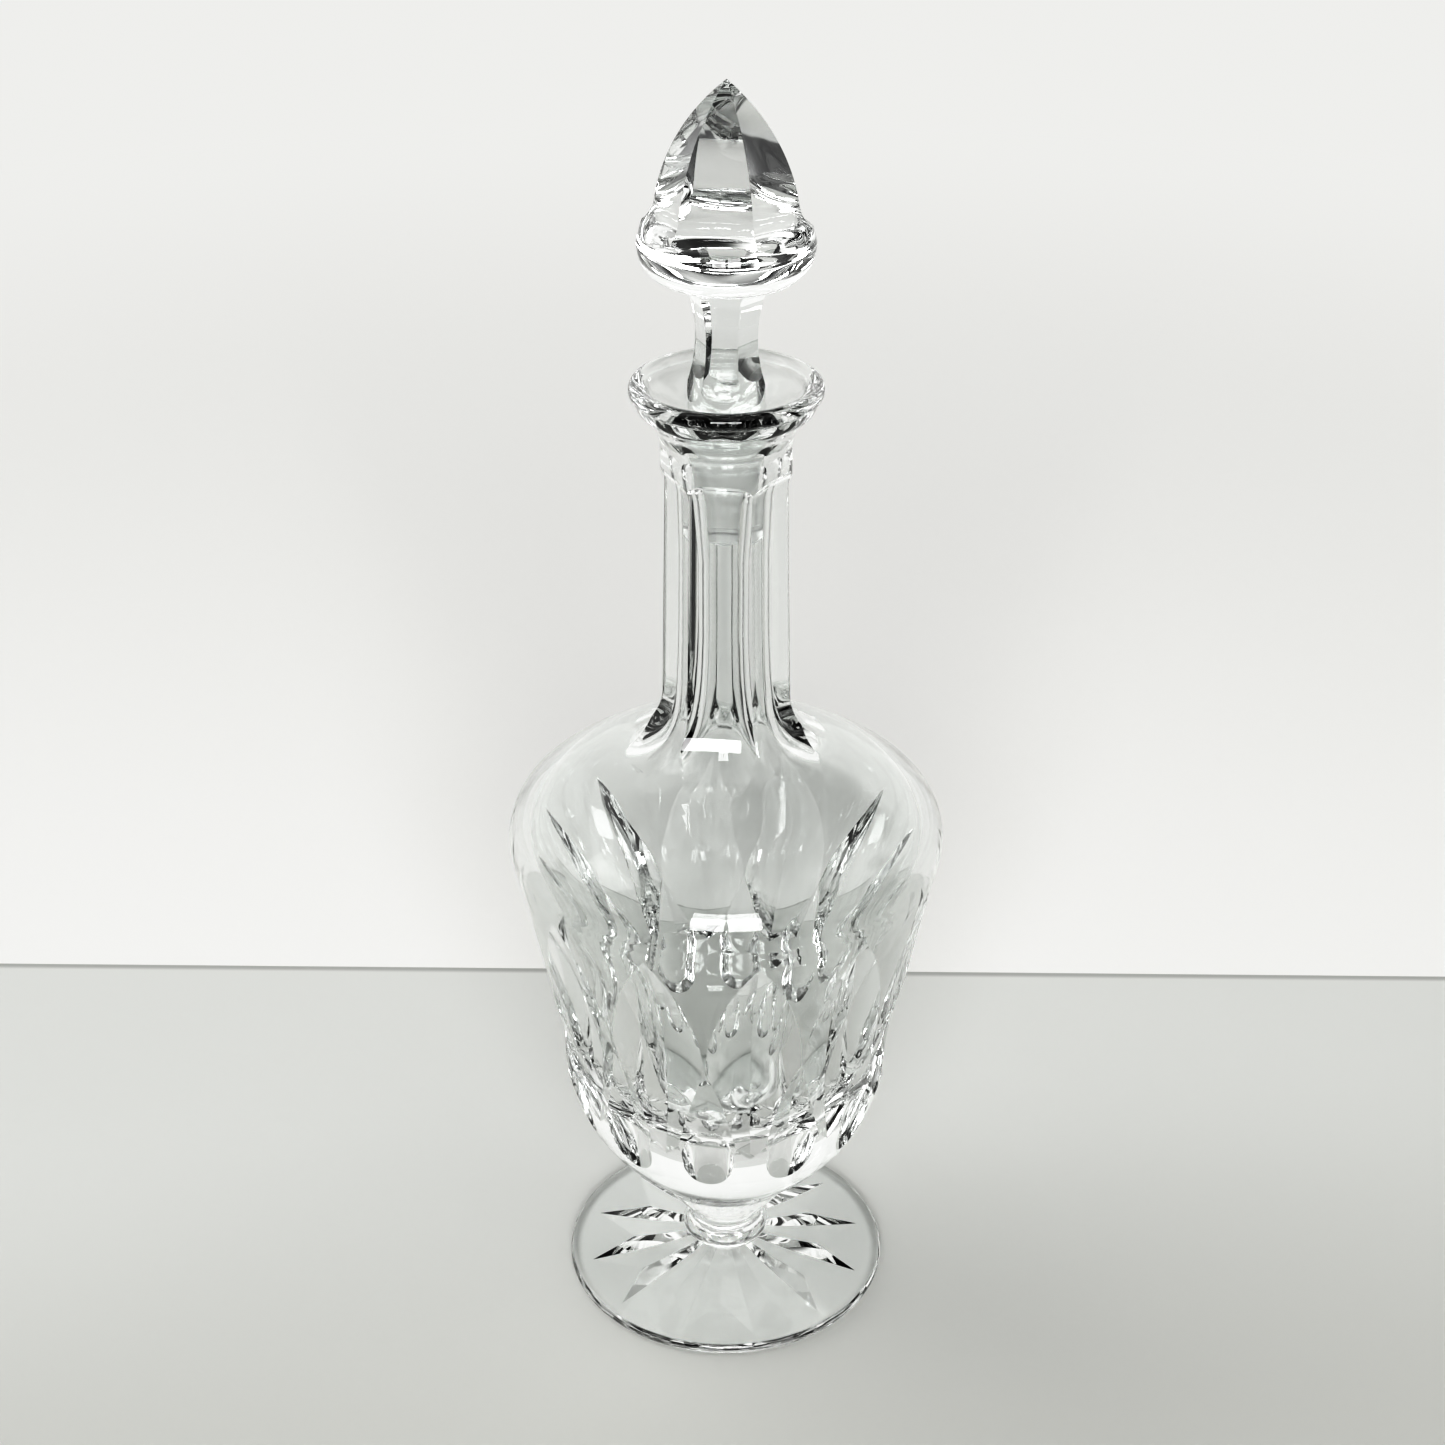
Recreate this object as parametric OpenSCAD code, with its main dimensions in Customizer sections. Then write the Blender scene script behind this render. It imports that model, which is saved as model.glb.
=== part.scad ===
// Cut crystal decanter on a foot, with a ground-in faceted stopper.
// Millimetres, +Z up the axis, origin at the centre of the foot's underside, front towards -Y.

/* [Overall] */
// Height of the decanter with its stopper seated
total_h = 360; // [300:1:432]
// Height of the pouring lip above the table
lip_z = 284; // [260:1:310]
// Widest diameter of the bowl, at the shoulder
body_d = 120; // [100:1:144]
// Height of the widest place of the bowl
shoulder_z = 151; // [135:1:165]

/* [Foot and stem] */
// Diameter of the foot
foot_d = 94.6; // [80:0.2:110]
// Thickness of the foot's rounded rim
rim_t = 3.4; // [2.5:0.1:5]
// Height of the foot at the stem
foot_h = 9; // [7:0.5:12]
// Height of the stem, from the foot to the bowl
stem_h = 10; // [6:0.5:20]
// Diameter of the stem where it meets the bowl
stem_d = 22.4; // [16:0.2:26]
// Diameter of the ring round the stem
knop_d = 25.6; // [20:0.2:32]

/* [Neck and lip] */
// Diameter of the round neck before it is cut
neck_d = 34; // [28:0.5:40]
// Diameter of the bore through the neck
bore_d = 14; // [12:0.1:18]
// Diameter of the pouring lip
lip_d = 49.8; // [42:0.2:58]
// Height of the lip ring
lip_h = 20; // [16:0.5:26]

/* [Neck flutes] */
// Number of flutes round the neck
flute_n = 6; // [5:1:8]
// Distance from the axis to the middle of a flute
flute_flat = 13.9; // [12:0.1:15]
// Radius of the wheel that ends the flutes on the shoulder
flute_wheel_r = 17; // [14:0.5:26]

/* [Body cutting] */
// Number of long cuts round the bowl
cut_n = 12; // [8:1:16]
// Turn of the first long cut from the front
cut_turn = 15; // [0:0.5:30]
// Height of the long cut's lower point
long_low = 71; // [60:1:80]
// Height of the long cut's upper point
long_top = 144; // [125:1:148]
// Depth of the long cut
long_depth = 6.9; // [4:0.1:8]
// Half angle of the wheel's edge for the long cut
long_angle = 70; // [60:1:78]
// Height of the short cut's lower point
short_low = 63; // [56:1:70]
// Height of the short cut's upper point
short_top = 105; // [95:1:115]
// Depth of the short cut
short_depth = 3.2; // [2:0.1:5]
// Height of the middle of the olive cuts
olive_z = 72; // [65:1:80]
// Height of an olive cut
olive_h = 30; // [20:1:34]
// Depth of an olive cut
olive_depth = 4.6; // [3:0.1:6]

/* [Star under the foot] */
// Number of rays in the star
ray_n = 12; // [8:1:16]
// Radius of the star's points
ray_r = 41; // [34:0.5:44]
// Depth of the star at its centre
ray_depth = 5.6; // [3:0.1:6]
// Half angle of the wheel's edge for a ray
ray_angle = 75; // [70:1:82]
// Turn of the first ray from the front
ray_turn = 18; // [0:0.5:30]

/* [Stopper] */
// Number of sides on the stopper
side_n = 6; // [5:1:8]
// Diameter of the stopper's round flange
flange_d = 44.4; // [36:0.2:52]
// Height of the head above the middle of the flange
head_h = 40.5; // [34:0.5:48]
// Radius of the curve of a facet from its foot to the point
facet_r = 50; // [40:1:90]
// Radius of the scoop that ends a facet
scoop_r = 9; // [6:0.5:12]
// Turn of the stopper in its socket from the front
stopper_turn = -3; // [-30:1:30]
// Distance from the axis to a shank flat at the waist
waist_flat = 6.9; // [6:0.1:8]
// Diameter of the shank above the ground plug
shank_d = 19.8; // [18:0.01:24]
// Length of the ground plug below the lip ring's mouth
plug_l = 26; // [20:0.1:31.5]
// Narrowing of the plug's radius for each millimetre of length
plug_taper = 0.0788; // [0.05:0.0001:0.1]
// Radial gap between the ground plug and its socket
plug_gap = 0.15; // [0.05:0.01:0.3]

/* [Hidden] */
$fn = 96;

glass = [0.90, 0.93, 0.92, 0.45];
ground_glass = [0.93, 0.95, 0.95, 0.7];

body_r = body_d / 2;
neck_r = neck_d / 2;
bore_r = bore_d / 2;
stem_r = stem_d / 2;
lip_r = lip_d / 2;
foot_r = foot_d / 2;
stem_top = foot_h + stem_h;
lip_base = lip_z - lip_h;
bowl_h = shoulder_z - stem_top;
cut_step = 360 / cut_n;

// The socket and the plug share one taper, measured from the socket's mouth.
mouth_z = lip_base + 4;
plug_mouth_r = shank_d / 2 - 0.55;
socket_mouth_r = plug_mouth_r + plug_gap;
plug_end_z = mouth_z - plug_l;
plug_end_r = plug_mouth_r - plug_l * plug_taper;
socket_end_z = mouth_z - (socket_mouth_r - bore_r) / plug_taper;
socket_lip_r = socket_mouth_r - (mouth_z - lip_base) * plug_taper;

// Smooth curve through a list of points, drawn with a few short lines between each pair.
smooth_steps = 2;
function blend(a, b, c, d, t) =
    0.5 * (2 * b + (c - a) * t + (2 * a - 5 * b + 4 * c - d) * t * t
    + (3 * b - a - 3 * c + d) * t * t * t);
function smooth(p, steps = smooth_steps) = [
    for (i = [0 : len(p) - 2])
        for (k = [0 : steps - 1])
            blend(p[max(i - 1, 0)], p[i], p[i + 1], p[min(i + 2, len(p) - 1)], k / steps),
    p[len(p) - 1]
];
// Arc about a centre, from one angle to another.
function arc(c, r, a0, a1, n) = [
    for (i = [0 : n])
        let (a = a0 + (a1 - a0) * i / n)
            [c[0] + r * cos(a), c[1] + r * sin(a)]
];

// Outside of the bottle before it is cut: bowl, shoulder and neck.
shoulder_h = 65;
bowl_side = [
    for (p = [[0.287, 0.061], [0.375, 0.121], [0.53, 0.193], [0.67, 0.28], [0.755, 0.386],
            [0.802, 0.5], [0.84, 0.614], [0.917, 0.826], [0.98, 0.955], [1, 1]])
        [body_r * p[0], stem_top + bowl_h * p[1]]
];
shoulder_side = [
    for (p = [[0.965, 0.095], [0.88, 0.17], [0.715, 0.25], [0.485, 0.345], [0.3, 0.40],
            [0.14, 0.455], [0.07, 0.53], [0.03, 0.65], [0.009, 0.82], [0, 1]])
        [neck_r + (body_r - neck_r) * p[0], shoulder_z + shoulder_h * p[1]]
];
bottle_side = concat([[stem_r, stem_top]], bowl_side, shoulder_side);

// Inside of the bottle: thick in the base, even in the shoulder, a straight bore in the neck.
base_t = 43;
cavity_h = shoulder_z - stem_top - base_t;
bore_start_z = shoulder_z + 56;
cavity_side = concat(
    [
        for (p = [[0, 0], [0.36, 0.035], [0.585, 0.12], [0.675, 0.27], [0.722, 0.45],
                [0.772, 0.64], [0.83, 0.8], [0.895, 0.93], [0.915, 1.02]])
            [body_r * p[0], stem_top + base_t + cavity_h * p[1]]
    ],
    [
        for (p = [[0.86, 0.13], [0.69, 0.22], [0.5, 0.305], [0.31, 0.4], [0.14, 0.51],
                [0.045, 0.67], [0, 1]])
            [bore_r + (body_r - bore_r) * p[0], shoulder_z + (bore_start_z - shoulder_z) * p[1]]
    ]
);

// Takes n copies of a cut out of a blank, one after another round the axis. The first
// child is the blank and the second is the cut, placed for the first copy.
module cut_round(n, of) {
    if (n == 0)
        children(0);
    else
        difference() {
            cut_round(n - 1, of) {
                children(0);
                children(1);
            }
            rotate([0, 0, (n - 1) * 360 / of])
                children(1);
        }
}

// Radius of the uncut bottle at a height, read from its outline.
function side_r(z) = lookup(z, [for (p = bottle_side) [p[1], p[0]]]);

// One pass of a big wheel with a pointed edge. The groove starts and ends on the bowl's
// surface at heights z0 and z1, and is deepest halfway between them.
module wheel_cut(z0, z1, depth, half_angle) {
    r0 = side_r(z0);
    r1 = side_r(z1);
    chord = norm([r1 - r0, z1 - z0]);
    lean = atan2(r1 - r0, z1 - z0);
    wheel_r = (chord * chord / 4 + depth * depth) / (2 * depth);
    edge_h = depth + 2;
    edge_w = edge_h * tan(half_angle);
    reach = asin(chord / 2 / wheel_r) + 4;
    translate([(r0 + r1) / 2, 0, (z0 + z1) / 2])
        rotate([0, lean, 0])
            translate([wheel_r - depth, 0, 0])
                rotate([90, 0, 0])
                    rotate_extrude(angle = 2 * reach, start = 180 - reach)
                        polygon([[wheel_r - edge_h, -edge_w], [wheel_r, 0], [wheel_r - edge_h, edge_w]]);
}

// An olive cut, made by a small wheel with a rounded edge.
module olive_cut() {
    surface_r = side_r(olive_z);
    lean = atan2(side_r(olive_z + olive_h / 2) - side_r(olive_z - olive_h / 2), olive_h);
    olive_r = (olive_h * olive_h / 4 + olive_depth * olive_depth) / (2 * olive_depth);
    edge_r = 8.5;
    translate([surface_r, 0, olive_z])
        rotate([0, lean, 0])
            translate([olive_r - olive_depth, 0, 0])
                rotate([90, 0, 0])
                    rotate_extrude()
                        translate([olive_r - edge_r, 0])
                            circle(r = edge_r);
}

// One flute of the neck, flat across, with a rounded end on the shoulder and under the lip.
flute_low_z = shoulder_z + 43.5;
flute_flare = 1;
flute_top_r = 8;
flute_top_z = lip_base - 0.6 - flute_top_r;
module flute_cut() {
    far = 60;
    path = concat(
        arc([flute_flat + flute_top_r, flute_top_z], flute_top_r, 90, 180, 6),
        arc([flute_flat + flute_flare + flute_wheel_r, flute_low_z], flute_wheel_r, 180, 264, 12)
    );
    low = path[len(path) - 1];
    rotate([90, 0, 0])
        linear_extrude(height = 2 * neck_d, center = true)
            polygon(concat(path, [[far, low[1] + 6], [far, path[0][1]]]));
}

// Foot: a low dome with a rounded rim and a star cut under it.
star_dimple_r = 8;
star_dimple_h = ray_depth + 0.4;
module foot() {
    rim_r = rim_t / 2;
    neck_of_foot = knop_d / 2 - 1.3;
    ball_r = (star_dimple_r * star_dimple_r + star_dimple_h * star_dimple_h) / (2 * star_dimple_h);
    top_side = smooth([
        [foot_r - rim_r, rim_t],
        [foot_r * 0.82, rim_t + 0.5],
        [foot_r * 0.55, rim_t + 1.6],
        [foot_r * 0.36, foot_h - 2.2],
        [neck_of_foot, foot_h]
    ], 3);
    color(glass)
        difference() {
            rotate_extrude()
                polygon(concat(
                    [[0, 0]],
                    arc([foot_r - rim_r, rim_r], rim_r, -90, 90, 12),
                    [for (i = [1 : len(top_side) - 1]) top_side[i]],
                    [[0, foot_h]]
                ));
            translate([0, 0, star_dimple_h - ball_r])
                sphere(r = ball_r);
            for (i = [0 : ray_n - 1])
                rotate([0, 0, ray_turn - 90 + i * 360 / ray_n])
                    ray_cut();
        }
}

// One ray of the star: a V groove that rises from the centre to its point near the rim.
module ray_cut() {
    start = 3;
    over = 4;
    rise = atan2(ray_depth, ray_r);
    run = norm([ray_r, ray_depth]);
    below = 3;
    half_w = (ray_depth + below) * tan(ray_angle);
    translate([0, 0, ray_depth])
        rotate([0, 90 + rise, 0])
            rotate([0, 0, 90])
                translate([0, 0, start])
                    linear_extrude(height = run + over - start)
                        polygon([[0, 0], [half_w, -ray_depth - below], [-half_w, -ray_depth - below]]);
}

// Stem: a short neck of glass with a ring round it.
module stem() {
    knop_r = knop_d / 2;
    ring_r = 2.2;
    color(glass)
        rotate_extrude()
            polygon(concat(
                [[0, foot_h], [knop_r - 1.3, foot_h]],
                arc([knop_r - ring_r, foot_h + ring_r + 0.4], ring_r, -50, 70, 8),
                smooth([
                    [stem_r + 0.1, foot_h + stem_h * 0.52],
                    [stem_r - 0.5, foot_h + stem_h * 0.72],
                    [stem_r, stem_top]
                ], 3),
                [[0, stem_top]]
            ));
}

// Bottle: bowl, shoulder and neck, blown as one piece and then cut.
module bottle() {
    half_step = cut_step / 2;
    color(glass)
        cut_round(cut_n, cut_n) {
            cut_round(cut_n, cut_n) {
                cut_round(cut_n, cut_n) {
                    cut_round(flute_n, flute_n) {
                        blown_bottle();
                        rotate([0, 0, -90])
                            flute_cut();
                    }
                    rotate([0, 0, cut_turn - 90])
                        wheel_cut(long_low, long_top, long_depth, long_angle);
                }
                rotate([0, 0, cut_turn + half_step - 90])
                    wheel_cut(short_low, short_top, short_depth, long_angle);
            }
            rotate([0, 0, cut_turn + half_step - 90])
                olive_cut();
        }
}

// The bottle as it is blown, before any cutting.
module blown_bottle() {
    outside = smooth(bottle_side);
    inside = smooth(cavity_side);
    rotate_extrude()
        polygon(concat(
            [[0, stem_top]],
            outside,
            [[neck_r, lip_base], [socket_lip_r, lip_base], [bore_r, socket_end_z]],
            [for (i = [len(inside) - 1 : -1 : 0]) inside[i]]
        ));
}

// Lip ring: a band of glass laid round the top of the neck and opened out to pour.
module lip_ring() {
    edge_r = 2.3;
    edge = [lip_r - edge_r, lip_z - edge_r];
    flare_side = smooth([
        [neck_r, lip_base + 2.6],
        [neck_r + (lip_r - neck_r) * 0.04, lip_base + 5],
        [neck_r + (lip_r - neck_r) * 0.18, lip_base + 8],
        [neck_r + (lip_r - neck_r) * 0.43, lip_base + 10.6],
        [neck_r + (lip_r - neck_r) * 0.7, lip_base + 12.8],
        edge + edge_r * [cos(-60), sin(-60)]
    ]);
    opening = lip_r - socket_mouth_r;
    funnel_side = smooth([
        edge + edge_r * [cos(140), sin(140)],
        [socket_mouth_r + opening * 0.644, lip_z - 2.6],
        [socket_mouth_r + opening * 0.45, lip_z - 5],
        [socket_mouth_r + opening * 0.224, lip_z - 8.8],
        [socket_mouth_r + opening * 0.095, lip_z - 12.6],
        [socket_mouth_r, mouth_z]
    ]);
    color(glass)
        rotate_extrude()
            polygon(concat(
                [[socket_lip_r, lip_base], [neck_r, lip_base]],
                flare_side,
                arc(edge, edge_r, -45, 120, 8),
                funnel_side
            ));
}

// Stopper: a pointed head with curved facets, a waisted shank and a ground plug, all one piece.
flange_z = total_h - head_h;
facet_low_z = total_h - 30;
facet_low_x = 15.5;
// The facet's arc passes through its lower end and the stopper's point.
facet_chord = norm([facet_low_x, total_h - facet_low_z]);
facet_lean = atan2(facet_low_x, total_h - facet_low_z);
facet_half = asin(facet_chord / (2 * facet_r));
facet_a0 = facet_lean - facet_half;
facet_a1 = facet_lean + facet_half;
facet_c = [facet_low_x - facet_r * cos(facet_a0), facet_low_z - facet_r * sin(facet_a0)];

module facet_cut() {
    far = 40;
    scoop_c = [facet_low_x, facet_low_z] + scoop_r * [cos(facet_a0), sin(facet_a0)];
    path = concat(
        arc(facet_c, facet_r, facet_a1, facet_a0, 9),
        [for (i = [1 : 9]) scoop_c + scoop_r * [cos(180 + facet_a0 + i * 9), sin(180 + facet_a0 + i * 9)]]
    );
    low = path[len(path) - 1];
    rotate([90, 0, 0])
        linear_extrude(height = 2 * flange_d, center = true)
            polygon(concat([[-6, total_h + 5]], path, [[far, low[1] + 2], [far, total_h + 5]]));
}

module shank_cut() {
    wheel_r = 44;
    waist_z = flange_z - 24;
    top_z = flange_z - 10.5;
    intersection() {
        translate([waist_flat + wheel_r, 0, waist_z])
            rotate([90, 0, 0])
                cylinder(h = 2 * shank_d, r = wheel_r, center = true);
        translate([0, -shank_d, top_z - 2 * shank_d])
            cube([2 * shank_d, 2 * shank_d, 2 * shank_d]);
    }
}

module stopper() {
    flange_r = flange_d / 2;
    shank_r = shank_d / 2;
    shank_low_z = lip_base + 12;
    end_bevel = 0.6;
    blank_side = smooth([
        [shank_r, flange_z - 10.8],
        [flange_r * 0.62, flange_z - 9.4],
        [flange_r * 0.82, flange_z - 7.4],
        [flange_r * 0.95, flange_z - 4.2],
        [flange_r, flange_z],
        [flange_r * 0.975, flange_z + 3],
        [flange_r * 0.9, flange_z + 9]
    ]);
    color(ground_glass)
        difference() {
            rotate_extrude()
                polygon(concat(
                    [[0, plug_end_z], [plug_end_r - end_bevel, plug_end_z], [plug_end_r, plug_end_z + end_bevel]],
                    [[plug_mouth_r, mouth_z], [shank_r, shank_low_z]],
                    blank_side,
                    [[flange_r * 0.5, total_h + 1], [0, total_h + 1]]
                ));
            for (i = [0 : side_n - 1])
                rotate([0, 0, stopper_turn + i * 360 / side_n - 90]) {
                    facet_cut();
                    shank_cut();
                }
        }
}

foot();
stem();
bottle();
lip_ring();
stopper();
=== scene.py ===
"""Cut crystal decanter: looks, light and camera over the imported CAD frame. Metres, +Z up, front towards -Y."""
from math import asin, atan2, cos, exp, hypot, pi, radians, sin, tan

import bmesh
import bpy
from mathutils import Matrix, Vector


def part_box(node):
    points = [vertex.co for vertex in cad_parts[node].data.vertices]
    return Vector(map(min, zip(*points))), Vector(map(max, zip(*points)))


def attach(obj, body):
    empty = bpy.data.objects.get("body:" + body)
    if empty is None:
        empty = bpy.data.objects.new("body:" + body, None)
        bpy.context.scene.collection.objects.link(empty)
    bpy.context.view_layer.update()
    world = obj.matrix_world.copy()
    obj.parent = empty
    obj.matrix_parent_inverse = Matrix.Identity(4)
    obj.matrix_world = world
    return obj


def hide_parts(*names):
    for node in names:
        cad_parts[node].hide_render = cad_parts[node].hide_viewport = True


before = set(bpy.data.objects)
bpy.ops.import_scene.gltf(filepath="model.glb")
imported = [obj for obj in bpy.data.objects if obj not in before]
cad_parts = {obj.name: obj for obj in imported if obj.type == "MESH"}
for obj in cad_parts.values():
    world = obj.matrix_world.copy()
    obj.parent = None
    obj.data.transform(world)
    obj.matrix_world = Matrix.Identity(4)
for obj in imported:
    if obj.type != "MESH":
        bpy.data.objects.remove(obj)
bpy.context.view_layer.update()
scene = bpy.context.scene

TURNS = 228          # segments round the bottle
STOPPER_TURNS = 240  # segments round the stopper
SHARP_ABOVE = 14     # degrees between two faces


def top_of(node):
    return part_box(node)[1].z


def radius_of(node):
    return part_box(node)[1].x


# Sizes that come from the frame.
TOTAL_H = top_of("stopper")
LIP_Z = top_of("lip_ring")
LIP_BASE = top_of("bottle")
STEM_TOP = top_of("stem")
FOOT_H = top_of("foot")
BODY_R = radius_of("bottle")
LIP_R = radius_of("lip_ring")
FOOT_R = radius_of("foot")
KNOP_R = radius_of("stem")
FLANGE_R = radius_of("stopper")
PLUG_END_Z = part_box("stopper")[0].z

# Sizes that the frame's boxes don't give.
SHOULDER_Z = 0.151
NECK_R = 0.017
BORE_R = 0.007
STEM_R = 0.0112
SHOULDER_H = 0.065
BASE_T = 0.043
MOUTH_Z = LIP_BASE + 0.004
PLUG_MOUTH_R = 0.00935
PLUG_TAPER = 0.0788
PLUG_GAP = 0.00015
SHANK_R = 0.0099
FLANGE_Z = TOTAL_H - 0.0405


# ---------------------------------------------------------------- outlines

def smooth(points, steps=12):
    """A smooth curve through a short list of points (Catmull-Rom)."""
    out = []
    for i in range(len(points) - 1):
        a, b = points[max(i - 1, 0)], points[i]
        c, d = points[i + 1], points[min(i + 2, len(points) - 1)]
        for k in range(steps):
            t = k / steps
            out.append(tuple(
                0.5 * (2 * q + (r - p) * t + (2 * p - 5 * q + 4 * r - s) * t * t
                       + (3 * q - p - 3 * r + s) * t ** 3)
                for p, q, r, s in zip(a, b, c, d)))
    return out + [tuple(points[-1])]


def blown(points, wide, step=0.0007):
    """A soft blown outline through the points: evened out over a length, with both ends held."""
    line = even(smooth(points, 16), 0.0001)
    run = [0.0]
    for a, b in zip(line, line[1:]):
        run.append(run[-1] + hypot(b[0] - a[0], b[1] - a[1]))
    n = max(2, round(run[-1] / step))
    spaced, i = [], 0
    for k in range(n + 1):
        at = run[-1] * k / n
        while i < len(line) - 2 and run[i + 1] < at:
            i += 1
        t = min(1.0, (at - run[i]) / max(run[i + 1] - run[i], 1e-9))
        spaced.append(tuple(p + (q - p) * t for p, q in zip(line[i], line[i + 1])))
    reach = round(3 * wide / step)
    weights = [exp(-0.5 * (k * step / wide) ** 2) for k in range(-reach, reach + 1)]
    total = sum(weights)

    def point(k):
        """The outline goes on past its ends turned about them, which holds the ends."""
        if k < 0:
            return tuple(2 * p - q for p, q in zip(spaced[0], spaced[min(-k, n)]))
        if k > n:
            return tuple(2 * p - q for p, q in zip(spaced[n], spaced[max(2 * n - k, 0)]))
        return spaced[k]
    return [tuple(sum(w * point(k + j - reach)[c] for j, w in enumerate(weights)) / total for c in (0, 1))
            for k in range(n + 1)]


def arc(centre, r, start, end, n):
    """Points on an arc about a centre, angles in degrees."""
    return [(centre[0] + r * cos(radians(start + (end - start) * i / n)),
             centre[1] + r * sin(radians(start + (end - start) * i / n))) for i in range(n + 1)]


def thinned(points, bend=2.2, longest=0.003):
    """Leaves out points where the outline is nearly straight."""
    out, turned, run, last = [points[0]], 0.0, 0.0, None
    for a, b in zip(points, points[1:]):
        heading = atan2(b[1] - a[1], b[0] - a[0])
        if last is not None:
            turned += abs((heading - last + pi) % (2 * pi) - pi)
        if a is not points[0] and (turned > radians(bend) or run > longest):
            out.append(a)
            turned, run = 0.0, 0.0
        run += hypot(b[0] - a[0], b[1] - a[1])
        last = heading
    return out + [points[-1]]


def even(points, step):
    """Extra points on long straight stretches, so that no face is much longer than step."""
    out = [points[0]]
    for a, b in zip(points, points[1:]):
        n = max(1, int(hypot(b[0] - a[0], b[1] - a[1]) / step))
        out += [(a[0] + (b[0] - a[0]) * k / n, a[1] + (b[1] - a[1]) * k / n) for k in range(1, n + 1)]
    return out


BOWL_SIDE = [(0.287, 0.061), (0.375, 0.121), (0.53, 0.193), (0.67, 0.28), (0.755, 0.386),
             (0.802, 0.5), (0.84, 0.614), (0.917, 0.826), (0.98, 0.955), (1, 1)]
SHOULDER_SIDE = [(0.965, 0.095), (0.88, 0.17), (0.715, 0.25), (0.485, 0.345), (0.3, 0.40),
                 (0.14, 0.455), (0.07, 0.53), (0.03, 0.65), (0.009, 0.82), (0, 1)]
CAVITY_LOW = [(0, 0), (0.18, 0.008), (0.36, 0.035), (0.585, 0.12), (0.675, 0.27), (0.722, 0.45),
              (0.772, 0.64), (0.83, 0.8), (0.895, 0.93), (0.915, 1.02)]
# The wall's thickness in metres at heights in metres, up to the start of the neck's bore.
WALL = [(0.094, 0.0083), (0.108, 0.0075), (0.122, 0.0069), (0.136, 0.0058), (0.151, 0.0052), (0.162, 0.0050),
        (0.170, 0.0054), (0.176, 0.0066), (0.184, 0.0089), (0.196, 0.0100), (0.208, 0.0101)]


def bottle_side():
    """Outside of the uncut bottle from the stem up to the lip ring."""
    bowl_h = SHOULDER_Z - STEM_TOP
    return (
        [(STEM_R, STEM_TOP)]
        + [(BODY_R * r, STEM_TOP + bowl_h * h) for r, h in BOWL_SIDE]
        + [(NECK_R + (BODY_R - NECK_R) * r, SHOULDER_Z + SHOULDER_H * h) for r, h in SHOULDER_SIDE])


def bottle_blown():
    """The outside evened out, and held to the body's full width."""
    line = blown(bottle_side(), 0.0035)
    widest = max(r for r, z in line)
    return [(r + (BODY_R - widest) * (r / widest) ** 2, z) for r, z in line]


OUTSIDE = bottle_blown()


def cavity_side():
    """Inside of the bottle from the middle of its floor up to the neck's bore: an even wall down to
    the thick base. It meets the axis level."""
    floor_z = STEM_TOP + BASE_T
    low = [(BODY_R * r, floor_z + (SHOULDER_Z - floor_z) * h) for r, h in CAVITY_LOW]
    high = []
    for (r0, z0), (r1, z1) in list(zip(OUTSIDE, OUTSIDE[1:]))[::8]:
        if WALL[0][0] <= z0 <= WALL[-1][0]:
            run = hypot(r1 - r0, z1 - z0)
            wall = next(w0 + (w1 - w0) * (z0 - h0) / (h1 - h0)
                        for (h0, w0), (h1, w1) in zip(WALL, WALL[1:]) if h0 <= z0 <= h1)
            high.append((max(BORE_R, r0 - wall * (z1 - z0) / run), z0 + wall * (r1 - r0) / run))
    low = [p for p in low if p[1] < high[0][1] - 0.006]
    high = [p for p in high if p[1] < LIP_BASE - 0.055] + [(BORE_R, LIP_BASE - 0.050)]
    side = low + high
    whole = [(-r, z) for r, z in side[:0:-1]] + side
    line = [p for p in blown(whole, 0.004) if p[0] > 1e-4]
    return [(0, line[0][1])] + line


def side_r(z):
    """Radius of the uncut bottle at a height, read from its outline."""
    for (r0, z0), (r1, z1) in zip(OUTSIDE, OUTSIDE[1:]):
        if z0 <= z <= z1:
            return r0 + (r1 - r0) * (z - z0) / (z1 - z0)
    return NECK_R


def foot_side():
    """Foot from the underside's middle round the rim to the stem."""
    rim_r = 0.0017
    top = smooth([(FOOT_R - rim_r, 2 * rim_r), (FOOT_R * 0.82, 0.0039), (FOOT_R * 0.55, 0.005),
                  (FOOT_R * 0.36, FOOT_H - 0.0022), (KNOP_R - 0.0013, FOOT_H)], 10)
    return arc((FOOT_R - rim_r, rim_r), rim_r, -90, 90, 16) + top[1:]


def stem_side():
    """The ring and the waist between the foot and the bowl."""
    ring_r = 0.0022
    stem_h = STEM_TOP - FOOT_H
    return (
        arc((KNOP_R - ring_r, FOOT_H + ring_r + 0.0004), ring_r, -50, 70, 14)
        + smooth([(STEM_R + 0.0001, FOOT_H + stem_h * 0.52), (STEM_R - 0.0005, FOOT_H + stem_h * 0.72),
                  (STEM_R, STEM_TOP)], 8)[:-1])


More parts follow.
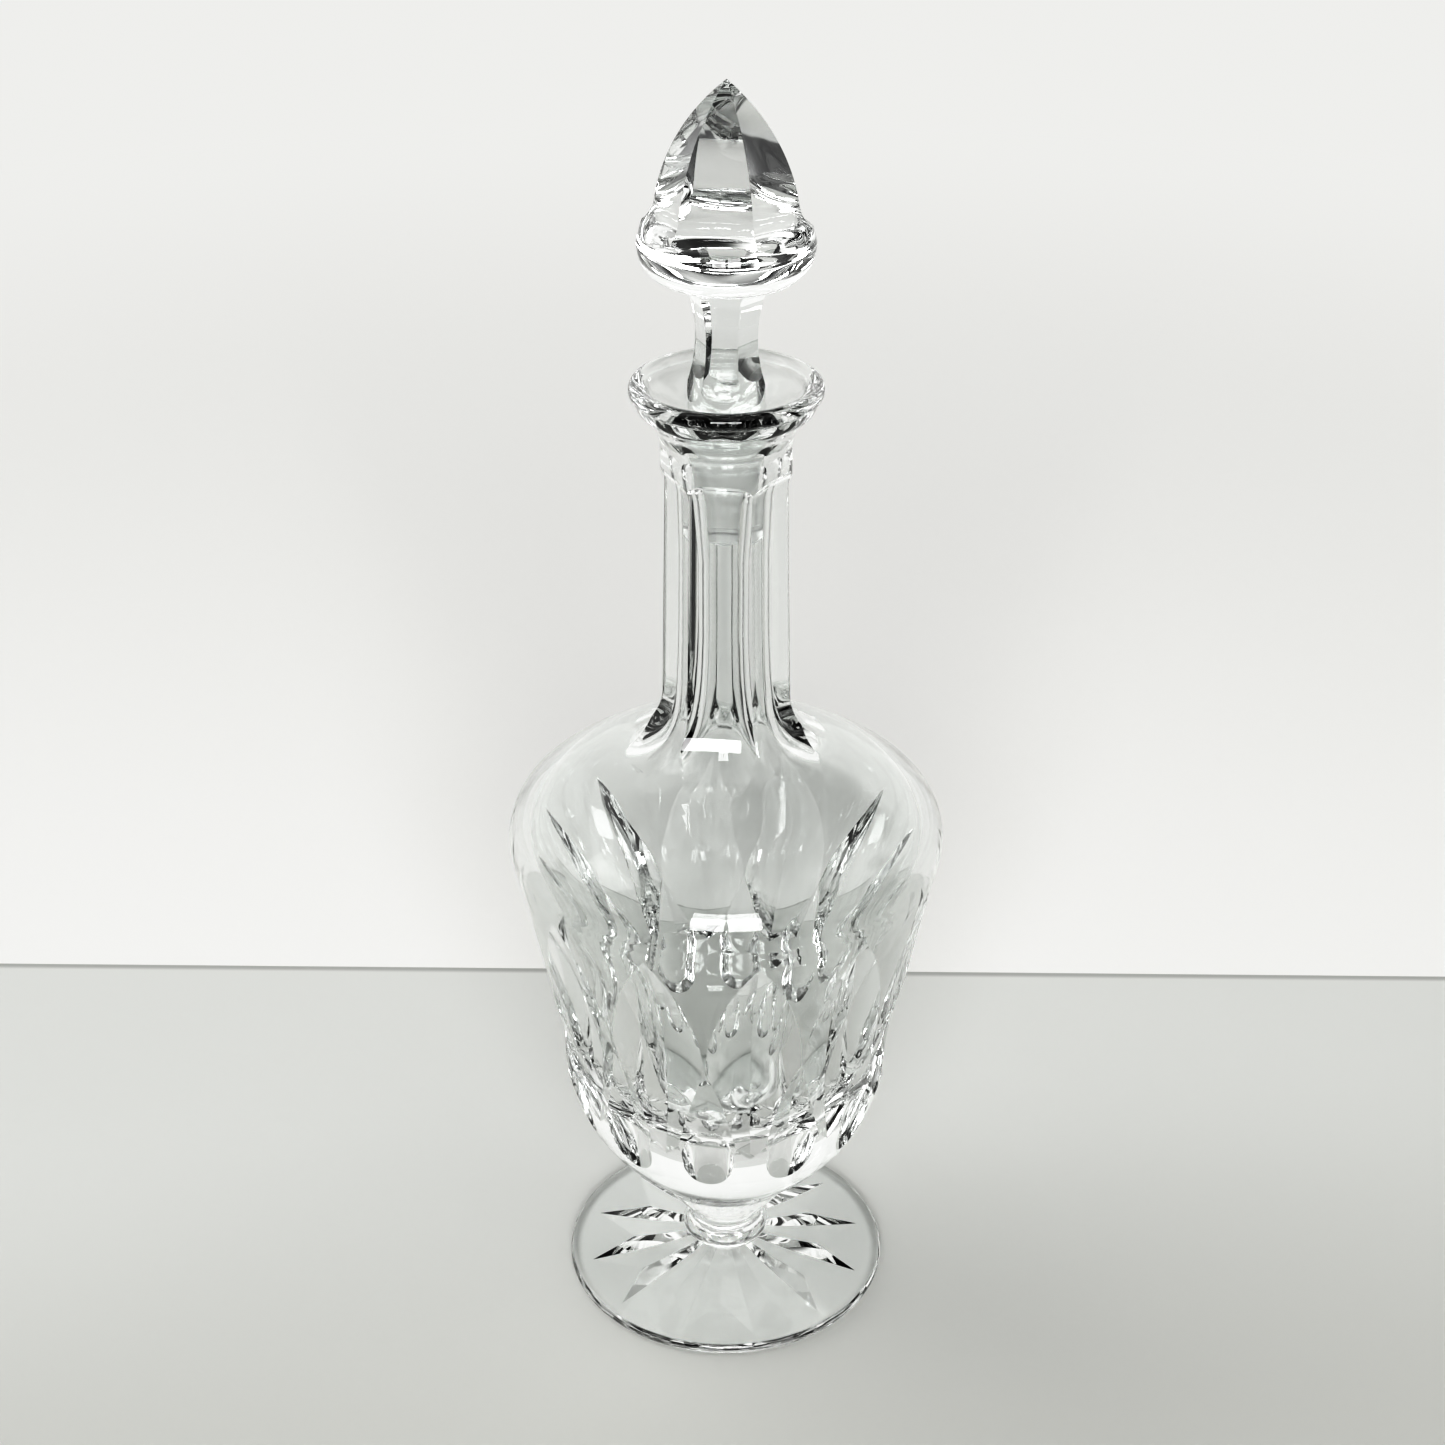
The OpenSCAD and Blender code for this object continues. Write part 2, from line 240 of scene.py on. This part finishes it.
def lip_side():
    """The lip ring from the neck, over the rim and down the funnel to the socket."""
    edge_r = 0.0023
    edge = (LIP_R - edge_r, LIP_Z - edge_r)
    out = LIP_R - NECK_R
    socket_r = PLUG_MOUTH_R + PLUG_GAP
    return (
        smooth([(NECK_R, LIP_BASE + 0.0026), (NECK_R + out * 0.04, LIP_BASE + 0.005),
                (NECK_R + out * 0.18, LIP_BASE + 0.008), (NECK_R + out * 0.43, LIP_BASE + 0.0106),
                (NECK_R + out * 0.7, LIP_BASE + 0.0128), arc(edge, edge_r, -60, -60, 1)[0]], 8)
        + arc(edge, edge_r, -45, 120, 20)
        + smooth([arc(edge, edge_r, 140, 140, 1)[0], (LIP_R * 0.78, LIP_Z - 0.0026),
                  (LIP_R * 0.66, LIP_Z - 0.005), (LIP_R * 0.52, LIP_Z - 0.0088),
                  (LIP_R * 0.44, LIP_Z - 0.0126), (socket_r, MOUTH_Z)], 8))


# ---------------------------------------------------------------- solids

def new_object(name, verts, faces):
    mesh = bpy.data.meshes.new(name)
    mesh.from_pydata(verts, [], faces)
    mesh.validate()
    obj = bpy.data.objects.new(name, mesh)
    scene.collection.objects.link(obj)
    return obj


def revolve(name, side, turns):
    """A closed solid turned about Z. side runs from the axis to the axis, seen counterclockwise."""
    verts, rings, faces = [], [], []
    for r, z in side:
        if r < 1e-7:
            rings.append([len(verts)])
            verts.append((0, 0, z))
        else:
            rings.append(list(range(len(verts), len(verts) + turns)))
            verts += [(r * cos(2 * pi * k / turns), r * sin(2 * pi * k / turns), z) for k in range(turns)]
    for low, high in zip(rings, rings[1:]):
        for k in range(turns):
            n = (k + 1) % turns
            if len(low) == 1 and len(high) > 1:
                faces.append((low[0], high[n], high[k]))
            elif len(high) == 1 and len(low) > 1:
                faces.append((low[k], low[n], high[0]))
            elif len(low) > 1:
                faces.append((low[k], low[n], high[n], high[k]))
    return new_object(name, verts, faces)


def swept(sections):
    """Vertices and faces of a closed solid through equal rings of points, capped at both ends."""
    n = len(sections[0])
    verts = [p for s in sections for p in s]
    faces = [tuple(range(n))[::-1], tuple(range(len(verts) - n, len(verts)))]
    for i in range(len(sections) - 1):
        for k in range(n):
            a, b = i * n + k, i * n + (k + 1) % n
            faces.append((a, b, b + n, a + n))
    return verts, faces


def joined(name, shapes):
    """One object from several (verts, faces, matrix)."""
    verts, faces = [], []
    for v, f, m in shapes:
        start = len(verts)
        verts += [m @ Vector(p) for p in v]
        faces += [tuple(i + start for i in face) for face in f]
    obj = new_object(name, verts, faces)
    bm = bmesh.new()
    bm.from_mesh(obj.data)
    bmesh.ops.recalc_face_normals(bm, faces=bm.faces)
    bm.to_mesh(obj.data)
    bm.free()
    return obj


def facing(azimuth):
    """Turns a cut made along +X to a direction given in degrees from the front."""
    return Matrix.Rotation(radians(azimuth - 90), 4, "Z")


def cut(solid, cutters):
    """Takes the cutters out of the solid, one boolean after another, and removes them."""
    for c in cutters:
        mod = solid.modifiers.new(c.name, "BOOLEAN")
        mod.operation, mod.solver, mod.object = "DIFFERENCE", "MANIFOLD", c
    made = bpy.data.meshes.new_from_object(
        solid.evaluated_get(bpy.context.evaluated_depsgraph_get()))
    solid.modifiers.clear()
    solid.data = made
    for c in cutters:
        bpy.data.objects.remove(c)


# ---------------------------------------------------------------- cuts

CUTS = 12           # of each kind round the bowl, and rays in the star
FLUTES = 6
SIDES = 6           # of the stopper
CUT_TURN = 15       # degrees from the front to the first long cut
STAR_TURN = 18
STOPPER_TURN = -3


def pass_of(wheel_r, depth, reach, steps, rim):
    """The part of a wheel within reach of the glass, as a closed solid whose deepest point is at -depth."""
    sections = []
    for i in range(steps + 1):
        a = pi - reach + 2 * reach * i / steps
        sections.append([(wheel_r - depth + d * cos(a), s, d * sin(a)) for d, s in rim(wheel_r)])
    return swept(sections)


def wheel(z0, z1, depth, rim):
    """A pass of a big wheel between two heights of the bowl. rim(wheel_r) is the edge's outline as
    (distance from the wheel's axle, sideways) pairs."""
    r0, r1 = side_r(z0), side_r(z1)
    chord = hypot(r1 - r0, z1 - z0)
    wheel_r = (chord ** 2 / 4 + depth ** 2) / (2 * depth)
    reach = asin(chord / 2 / wheel_r) + radians(4)
    lean = Matrix.Rotation(atan2(r1 - r0, z1 - z0), 4, "Y")
    place = Matrix.Translation(((r0 + r1) / 2, 0, (z0 + z1) / 2)) @ lean
    return (*pass_of(wheel_r, depth, reach, 40, rim), place)


def mitre_cut(z0, z1, depth, half_angle):
    height = depth + 0.002
    width = height * tan(radians(half_angle))
    return wheel(z0, z1, depth, lambda r: [(r - height, -width), (r, 0), (r - height, width)])


def olive_cut():
    z, h, depth, edge_r = 0.072, 0.030, 0.0046, 0.0085

    def rim(r):
        return [(r - edge_r + edge_r * cos(t), edge_r * sin(t))
                for t in (2 * pi * k / 48 for k in range(48))]
    lean = atan2(side_r(z + h / 2) - side_r(z - h / 2), h)
    wheel_r = (h * h / 4 + depth ** 2) / (2 * depth)
    place = Matrix.Translation((side_r(z), 0, z)) @ Matrix.Rotation(lean, 4, "Y")
    return (*pass_of(wheel_r, depth, radians(60), 48, rim), place)


def flute_cut():
    """A neck flute, very slightly hollow across, with rounded ends."""
    flat, flare, low_r, top_r = 0.0139, 0.001, 0.017, 0.008
    low_z, top_z = SHOULDER_Z + 0.0435, LIP_BASE - 0.0006 - top_r
    path = even(
        arc((flat + top_r, top_z), top_r, 90, 180, 20)
        + arc((flat + flare + low_r, low_z), low_r, 180, 264, 40), 0.004)
    far, half_w, hollow = 0.060, 0.013, 0.0008
    across = [-1 + k / 12 for k in range(25)]
    sections = []
    for s in across:
        dip = hollow * (s * s - 0.4)
        outline = [(x + dip, half_w * s, z) for x, z in path]
        low = outline[-1]
        sections.append(outline + [(far, half_w * s, low[2] + 0.006), (far, half_w * s, outline[0][2])])
    return swept(sections)


def star():
    """The whole star under the foot as one solid: a ring of kites that meet at the centre."""
    ray_r, depth, spread, below = 0.041, 0.0056, tan(radians(75)), -0.002
    half = pi / CUTS
    notch_r = spread * depth / (sin(half) + spread * depth / ray_r * cos(half))
    rim = []
    for i in range(CUTS):
        a = radians(STAR_TURN - 90) + 2 * pi * i / CUTS
        rim += [(ray_r * cos(a), ray_r * sin(a)), (notch_r * cos(a + half), notch_r * sin(a + half))]
    n = len(rim)
    verts = [(0, 0, depth), (0, 0, below)] + [(x, y, 0) for x, y in rim] + [(x, y, below) for x, y in rim]
    faces = []
    for k in range(n):
        a, b = 2 + k, 2 + (k + 1) % n
        faces += [(0, a, b), (a, a + n, b + n, b), (1, b + n, a + n)]
    return joined("star", [(verts, faces, Matrix())])


def dimple():
    """The ground-out middle of the star."""
    r, h = 0.008, 0.006
    ball_r = (r * r + h * h) / (2 * h)
    side = [(0, h - 2 * ball_r)] + arc((0, h - ball_r), ball_r, -89, 89, 60) + [(0, h)]
    return revolve("dimple", side, 96)


def make_glass():
    """The fused glass of the bottle, lip ring, stem and foot, with every cut."""
    socket_end_z = MOUTH_Z - (PLUG_MOUTH_R + PLUG_GAP - BORE_R) / PLUG_TAPER
    side = [(0, 0), (0.012, 0), (0.030, 0)]
    side += foot_side() + stem_side()
    side += thinned(OUTSIDE) + [(NECK_R, LIP_BASE - 0.001)]
    side += lip_side() + [(BORE_R, socket_end_z)]
    side += thinned(cavity_side())[::-1]
    glass = revolve("decanter_glass", even(side, 0.0032), TURNS)

    def ring(name, make, azimuths):
        return joined(name, [(*make[:2], facing(a) @ make[2]) for a in azimuths])
    step = 360 / CUTS
    long_cut = mitre_cut(0.071, 0.144, 0.0069, 70)
    short_cut = mitre_cut(0.063, 0.105, 0.0032, 70)
    olive = olive_cut()
    flute = (*flute_cut(), Matrix())
    cutters = []
    for k in (0, 1):
        cutters.append(ring(f"flutes_{k}", flute, [(2 * i + k) * 360 / FLUTES for i in range(FLUTES // 2)]))
        cutters.append(ring(f"long_{k}", long_cut, [CUT_TURN + (2 * i + k) * step for i in range(CUTS // 2)]))
    for k in (0, 1):
        cutters.append(ring(f"short_{k}", short_cut,
                            [CUT_TURN + (2 * i + k + 0.5) * step for i in range(CUTS // 2)]))
    cutters.append(ring("olives", olive, [CUT_TURN + (i + 0.5) * step for i in range(CUTS)]))
    cutters += [star(), dimple()]
    cut(glass, cutters)
    return glass


def facet_cut():
    """Outside of a facet of the stopper's head: a curve up to the point and a scoop at its foot."""
    low_x, low_z, curve_r, scoop_r, far = 0.0155, TOTAL_H - 0.030, 0.050, 0.009, 0.040
    rise = TOTAL_H - low_z
    half = asin(hypot(low_x, rise) / (2 * curve_r))
    lean = atan2(low_x, rise)
    start, end = lean - half, lean + half
    centre = (low_x - curve_r * cos(start), low_z - curve_r * sin(start))
    scoop = (low_x + scoop_r * cos(start), low_z + scoop_r * sin(start))
    first = 180 + start * 180 / pi
    path = (arc(centre, curve_r, end * 180 / pi, start * 180 / pi, 48)
            + arc(scoop, scoop_r, first, first + 81, 32)[1:])
    low = path[-1]
    outline = [(-0.006, TOTAL_H + 0.005)] + path + [(far, low[1] + 0.002), (far, TOTAL_H + 0.005)]
    width = 0.040
    return swept([[(x, y, z) for x, z in outline] for y in (-width, width)])


def shank_cut():
    """Outside of a flat of the stopper's waisted shank."""
    flat, wheel_r, waist_z, top_z = 0.0069, 0.044, FLANGE_Z - 0.024, FLANGE_Z - 0.0105
    end = 180 - asin((top_z - waist_z) / wheel_r) * 180 / pi
    path = arc((flat + wheel_r, waist_z), wheel_r, end, 215, 48)
    outline = path + [(0.030, path[-1][1]), (0.030, top_z)]
    width = 0.020
    return swept([[(x, y, z) for x, z in outline] for y in (-width, width)])


def make_stopper():
    bevel = 0.0006
    end_r = PLUG_MOUTH_R - (MOUTH_Z - PLUG_END_Z) * PLUG_TAPER
    blank = smooth([
        (SHANK_R, FLANGE_Z - 0.0108), (FLANGE_R * 0.62, FLANGE_Z - 0.0094),
        (FLANGE_R * 0.82, FLANGE_Z - 0.0074), (FLANGE_R * 0.95, FLANGE_Z - 0.0042),
        (FLANGE_R, FLANGE_Z), (FLANGE_R * 0.975, FLANGE_Z + 0.003), (FLANGE_R * 0.9, FLANGE_Z + 0.009)])
    side = ([(0, PLUG_END_Z), (end_r - bevel, PLUG_END_Z), (end_r, PLUG_END_Z + bevel),
             (PLUG_MOUTH_R, MOUTH_Z), (SHANK_R, LIP_BASE + 0.012)] + blank
            + [(FLANGE_R * 0.5, TOTAL_H + 0.001), (0, TOTAL_H + 0.001)])
    solid = revolve("stopper_glass", even(side, 0.002), STOPPER_TURNS)
    facet, flat = facet_cut(), shank_cut()
    cutters = []
    for i in range(SIDES):
        m = facing(STOPPER_TURN + i * 360 / SIDES)
        cutters.append(joined(f"side_{i}", [(*facet, m), (*flat, m)]))
    cut(solid, cutters)
    return solid


def crease(obj, degrees):
    """Smooth shading with sharp edges where the surface turns by more than this."""
    bm = bmesh.new()
    bm.from_mesh(obj.data)
    bmesh.ops.remove_doubles(bm, verts=bm.verts, dist=2e-7)
    bmesh.ops.dissolve_degenerate(bm, edges=bm.edges, dist=1e-7)
    for f in bm.faces:
        f.smooth = True
    for e in bm.edges:
        e.smooth = len(e.link_faces) == 2 and e.calc_face_angle(0) < radians(degrees)
    bm.to_mesh(obj.data)
    bm.free()


# ---------------------------------------------------------------- materials

GLASS_COLOUR = (0.90, 0.913, 0.906, 1)
GROUND_COLOUR = (0.99, 0.995, 0.99, 1)
GLASS_IOR = 1.545            # lead crystal
SHEET_Y = 0.147              # where the table ends and the white sheet begins
SHEET_TURN = radians(-0.9)
TABLE_EDGE = 0.24            # where the table's left front edge is, seen through the glass
TABLE_FRONT = (0.25, 0.29)   # and its front, which fades into the dark room
UNDER_FOOT = 0.40            # how strongly the painted pool of light under the foot glows: the table top emits it
CAMERA_TURN = radians(6.5)   # the decanter's front is turned this far from the camera


def new_material(name, roughness=None):
    """A material, its node tree and its main shader."""
    mat = bpy.data.materials.new(name)
    mat.use_nodes = True
    shader = mat.node_tree.nodes["Principled BSDF"]
    if roughness is not None:
        shader.inputs["Roughness"].default_value = roughness
    return mat, mat.node_tree, shader


def span(tree, source, *ends, soft=False):
    """A value mapped from one range to another: from low, from high, and if given to low, to high."""
    node = tree.nodes.new("ShaderNodeMapRange")
    if soft:
        node.interpolation_type = "SMOOTHSTEP"
    for key, value in zip(("From Min", "From Max", "To Min", "To Max"), ends):
        node.inputs[key].default_value = value
    tree.links.new(source, node.inputs["Value"])
    return node.outputs["Result"]


def maths(tree, kind, a, b):
    node = tree.nodes.new("ShaderNodeMath")
    node.operation = kind
    tree.links.new(a, node.inputs[0])
    tree.links.new(b, node.inputs[1])
    return node.outputs[0]


def put(tree, value, socket):
    """Sets a socket to a number or a colour, or links it."""
    if isinstance(value, (int, float, tuple)):
        socket.default_value = value
    else:
        tree.links.new(value, socket)


def mixed(tree, factor, a, b, kind="RGBA"):
    node = tree.nodes.new("ShaderNodeMix")
    node.data_type = kind
    first = 6 if kind == "RGBA" else 2
    for value, socket in ((factor, 0), (a, first), (b, first + 1)):
        put(tree, value, node.inputs[socket])
    return node.outputs[2 if kind == "RGBA" else 0]


def noise_of(tree, place, scale, detail):
    node = tree.nodes.new("ShaderNodeTexNoise")
    node.inputs["Scale"].default_value = scale
    node.inputs["Detail"].default_value = detail
    tree.links.new(place.outputs["Object"], node.inputs["Vector"])
    return node.outputs["Fac"]


def crystal(name, rough, spread, grain, ground=None):
    """Clear lead crystal. The polish varies a little over the surface: rough to rough + spread.
    ground is the two heights between which the glass is ground matt, and how matt it is."""
    mat, tree, shader = new_material(name)
    shader.inputs["Base Color"].default_value = GLASS_COLOUR
    shader.inputs["IOR"].default_value = GLASS_IOR
    shader.inputs["Transmission Weight"].default_value = 1.0
    place = tree.nodes.new("ShaderNodeTexCoord")
    polish = span(tree, noise_of(tree, place, grain, 3), 0.4, 0.75, rough, rough + spread)
    if ground:
        low, high, matt = ground
        split = tree.nodes.new("ShaderNodeSeparateXYZ")
        tree.links.new(place.outputs["Object"], split.inputs[0])
        z = split.outputs["Z"]
        edge = (high - 0.0003, high + 0.0003)
        above = span(tree, z, low - 0.0001, low + 0.0001, 0, matt)
        below = span(tree, z, *edge, 1, 0)
        polish = maths(tree, "MAXIMUM", polish, maths(tree, "MULTIPLY", above, below))
        whole = span(tree, z, *edge, 0.9, 1.0)
        end = span(tree, z, PLUG_END_Z + 0.0008, PLUG_END_Z + 0.0012, 0.55, 1.0)
        tree.links.new(maths(tree, "MINIMUM", whole, end), shader.inputs["Transmission Weight"])
        white = mixed(tree, span(tree, z, *edge, 1.0, 0.0), GLASS_COLOUR, GROUND_COLOUR)
        tree.links.new(white, shader.inputs["Base Color"])
    tree.links.new(polish, shader.inputs["Roughness"])
    return mat


def paint(obj, mat):
    """Gives every face of the object this one material."""
    obj.data.materials.clear()
    obj.data.materials.append(mat)
    obj.data.polygons.foreach_set("material_index", [0] * len(obj.data.polygons))


def fade_out(tree, colour, near, far, only_camera=False):
    """Makes the surface turn into one even tone with distance from the decanter, as a studio floor does."""
    place = tree.nodes.new("ShaderNodeTexCoord")
    away = tree.nodes.new("ShaderNodeVectorMath")
    away.operation = "LENGTH"
    tree.links.new(place.outputs["Object"], away.inputs[0])
    factor = span(tree, away.outputs["Value"], near, far, soft=True)
    if only_camera:
        seen = tree.nodes.new("ShaderNodeLightPath")
        factor = maths(tree, "MULTIPLY", factor, seen.outputs["Is Camera Ray"])
    even_tone = tree.nodes.new("ShaderNodeEmission")
    even_tone.inputs["Color"].default_value = colour
    mix = tree.nodes.new("ShaderNodeMixShader")
    tree.links.new(factor, mix.inputs[0])
    tree.links.new(tree.nodes["Principled BSDF"].outputs[0], mix.inputs[1])
    tree.links.new(even_tone.outputs[0], mix.inputs[2])
    tree.links.new(mix.outputs[0], tree.nodes["Material Output"].inputs["Surface"])


def table_material():
    """A pale table top, darker towards the front by painted shade, with a painted shadow line along the white
    sheet's edge.
    Seen by way of the glass, it has more painted shade towards the front, and it ends a little in front of the
    decanter in painted darkness, where the room is dark. Under the foot it glows with a painted pool of light,
    as bright as the light that the glass gathers there."""
    mat, tree, shader = new_material("pale_table", 0.55)
    place = tree.nodes.new("ShaderNodeTexCoord")

    def distance(kind, value=None):
        node = tree.nodes.new("ShaderNodeVectorMath")
        node.operation = kind
        if value is not None:
            node.inputs[1].default_value = value
        tree.links.new(place.outputs["Object"], node.inputs[0])
        return node.outputs["Value"]

    def towards(x, y, low, high, most=1.0, turn=CAMERA_TURN):
        """0 to most between two distances from the middle, in a direction given as the camera sees it."""
        way = Matrix.Rotation(turn, 4, "Z") @ Vector((x, y, 0))
        return span(tree, distance("DOT_PRODUCT", way), low, high, 0.0, most, soft=True)
    grain = mixed(tree, noise_of(tree, place, 3.0, 5), (0.745, 0.755, 0.735, 1), (0.785, 0.795, 0.775, 1))
    # Painted shade: the table top turns darker towards the front, a painted falloff of the light.
    top = mixed(tree, towards(0.1, -1, -0.08, 0.12), grain, (0.62, 0.625, 0.60, 1))
    past_edge = towards(0.5, -0.866, TABLE_EDGE, TABLE_EDGE + 0.06)
    past_front = towards(0, -1, *TABLE_FRONT)
    # Painted shadow: a thin darker strip on the table along the white sheet's edge, where that edge casts a thin
    # shadow line.
    painted_edge_shadow = towards(0, 1, SHEET_Y - 0.0035, SHEET_Y - 0.001, 0.55, CAMERA_TURN + SHEET_TURN)
    top = mixed(tree, painted_edge_shadow, top, (0.25, 0.25, 0.24, 1))
    # Seen by way of the glass only: painted shade, darker towards the front (shaded), and painted darkness
    # (dark) past the table's left front edge and its front, standing in for the dark room. The camera sees top
    # instead.
    seen = tree.nodes.new("ShaderNodeLightPath")
    dark = (0.03, 0.03, 0.032, 1)
    shaded = mixed(tree, towards(0, -1, 0.02, 0.30), top, (0.50, 0.505, 0.50, 1))
    ended = mixed(tree, past_front, mixed(tree, past_edge, shaded, dark), dark)
    tree.links.new(mixed(tree, seen.outputs["Is Camera Ray"], ended, top), shader.inputs["Base Color"])
    # Painted pool of light: the table top emits light under the foot, fading out at the foot's rim, standing in
    # for the light the glass gathers there.
    shader.inputs["Emission Color"].default_value = (1, 1, 0.985, 1)
    glow = span(tree, distance("LENGTH"), FOOT_R - 0.004, FOOT_R - 0.0005, UNDER_FOOT, 0.0, soft=True)
    tree.links.new(glow, shader.inputs["Emission Strength"])
    fade_out(tree, (0.63, 0.635, 0.61, 1), 0.40, 1.1, only_camera=True)
    return mat


def white_material():
    """A white sheet lying flat behind the table. With distance it turns into one even tone, so its far part is
    as bright as the near.
    """
    mat, tree, shader = new_material("white_paper", 0.8)
    place = tree.nodes.new("ShaderNodeTexCoord")
    tone = mixed(tree, noise_of(tree, place, 2.0, 4), (0.92, 0.92, 0.905, 1), (0.95, 0.95, 0.94, 1))
    tree.links.new(tone, shader.inputs["Base Color"])
    fade_out(tree, (0.83, 0.83, 0.815, 1), 0.45, 1.2)
    return mat


# ---------------------------------------------------------------- stage, light and camera

CAMERA_D = 0.596
CAMERA_H = 0.5223
CAMERA_SIDE = -0.00098
CAMERA_PITCH = 0.5153    # radians below level
CAMERA_F = 2527 / 1445   # focal length over the picture's width
SENSOR = 36


def make_stage():
    """A pale table with a white sheet behind it."""
    reach = 60.0
    floor_z = -0.0003
    turn = Matrix.Rotation(CAMERA_TURN + SHEET_TURN, 4, "Z")

    def sheet(name, y0, y1, mat):
        corners = [turn @ Vector((x, y, floor_z))
                   for x, y in ((-reach, y0), (reach, y0), (reach, y1), (-reach, y1))]
        obj = new_object(name, corners, [(0, 1, 2, 3)])
        obj.data.materials.append(mat)
        return obj
    sheet("table_top", -reach, SHEET_Y, table_material())
    sheet("white_sheet", SHEET_Y, reach, white_material())


# Parts of the room: azimuth, height, inner and outer angle in degrees, and how bright it is.
ROOM = (
    (-75, 45, 25, 50, 1.25),
    (178, 30, 35, 78, 0.30),
    (160, 62, 10, 24, 0.9),
    (22, 62, 18, 34, 0.04),
    (45, 42, 8, 18, 0.08),
    (-15, 52, 6, 14, 0.06),
    (95, 12, 6, 16, 0.10),
    (78, 30, 3, 8, 0.08),
    (-82, 8, 4, 11, 0.12),
    (-105, 32, 8, 18, 0.20),
    (-135, 12, 9, 20, 0.05),
    (175, 14, 24, 38, 0.04),
)
ROOM_LEVEL = 1.1      # the rest of the room
SEEN_LEVEL = 0.85     # what the camera itself sees of it
WINDOW_POWER = 38     # watts, each pane
WINDOW_FAR = 3.0
WINDOW_UP = radians(23)
WINDOW_APART = 9.5    # degrees from the middle to each pane
MIDDLE = (0, 0, 0.15)  # what the lamps point at


def area_light(name, place, size, power):
    data = bpy.data.lights.new(name, "AREA")
    data.shape = "RECTANGLE"
    data.size, data.size_y = size
    data.energy = power
    obj = bpy.data.objects.new(name, data)
    obj.location = place
    obj.rotation_euler = (Vector(MIDDLE) - Vector(place)).to_track_quat("-Z", "Y").to_euler()
    scene.collection.objects.link(obj)


def make_light():
    """A bright soft room with darker parts: the room behind the photographer, and the ceiling to the right."""
    world = bpy.data.worlds.new("studio")
    scene.world = world
    world.use_nodes = True
    tree = world.node_tree
    back = tree.nodes["Background"]
    place = tree.nodes.new("ShaderNodeTexCoord")

    def patch(azimuth, height, inner, outer):
        """1 within inner degrees of a direction, 0 beyond outer. Azimuth 0 is away from the camera, 90 to
        its right."""
        a, h = radians(azimuth), radians(height)
        centre = Matrix.Rotation(CAMERA_TURN, 4, "Z") @ Vector((sin(a) * cos(h), cos(a) * cos(h), sin(h)))
        dot = tree.nodes.new("ShaderNodeVectorMath")
        dot.operation = "DOT_PRODUCT"
        dot.inputs[1].default_value = centre
        tree.links.new(place.outputs["Generated"], dot.inputs[0])
        return span(tree, dot.outputs["Value"], cos(radians(outer)), cos(radians(inner)), soft=True)
    room = ROOM_LEVEL
    for azimuth, height, inner, outer, tone in ROOM:
        room = mixed(tree, patch(azimuth, height, inner, outer), room, tone, "FLOAT")
    seen = tree.nodes.new("ShaderNodeLightPath")
    put(tree, mixed(tree, seen.outputs["Is Camera Ray"], room, SEEN_LEVEL, "FLOAT"), back.inputs["Strength"])
    back.inputs["Color"].default_value = (1.0, 0.998, 0.985, 1)
    area_light("side_window", (-1.5, -0.3, 1.4), (0.9, 1.0), 3)
    for i, side in enumerate((-1, 1)):
        turn = Matrix.Rotation(CAMERA_TURN + radians(side * WINDOW_APART), 4, "Z")
        pane = turn @ Vector((0, -WINDOW_FAR * cos(WINDOW_UP), MIDDLE[2] + WINDOW_FAR * sin(WINDOW_UP)))
        area_light(f"window_{i}", pane, (0.84, 1.2), WINDOW_POWER)


def make_camera():
    data = bpy.data.cameras.new("camera")
    data.sensor_width = SENSOR
    data.lens = SENSOR * CAMERA_F
    data.clip_start = 0.01
    data.clip_end = 200
    cam = bpy.data.objects.new("camera", data)
    turn = Matrix.Rotation(CAMERA_TURN, 4, "Z")
    cam.location = turn @ Vector((CAMERA_SIDE, -CAMERA_D, CAMERA_H))
    cam.rotation_euler = (pi / 2 - CAMERA_PITCH, 0, CAMERA_TURN)
    scene.collection.objects.link(cam)
    scene.camera = cam


CONTRAST = ((0.045, 0.0105), (0.156, 0.066), (0.305, 0.208), (0.515, 0.452), (0.73, 0.73), (0.871, 0.905))


def add_contrast(view):
    """A little more contrast, as a phone gives its pictures."""
    view.use_curve_mapping = True
    curve = view.curve_mapping.curves[3]
    for x, y in CONTRAST:
        curve.points.new(x, y)
    view.curve_mapping.update()


def main():
    glass = make_glass()
    crease(glass, SHARP_ABOVE)
    paint(glass, crystal("clear_crystal", 0.0, 0.012, 40))
    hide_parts("bottle", "lip_ring", "stem", "foot")
    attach(glass, "decanter")

    stopper = make_stopper()
    crease(stopper, SHARP_ABOVE)
    paint(stopper, crystal("clear_crystal_stopper", 0.0, 0.012, 60, (0.0, MOUTH_Z + 0.0005, 0.11)))
    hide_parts("stopper")
    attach(stopper, "stopper")

    make_stage()
    make_light()
    make_camera()
    scene.cycles.max_bounces = 24
    scene.cycles.transmission_bounces = 24
    scene.cycles.glossy_bounces = 8
    scene.cycles.use_denoising = True
    scene.view_settings.view_transform = "Standard"
    add_contrast(scene.view_settings)


main()
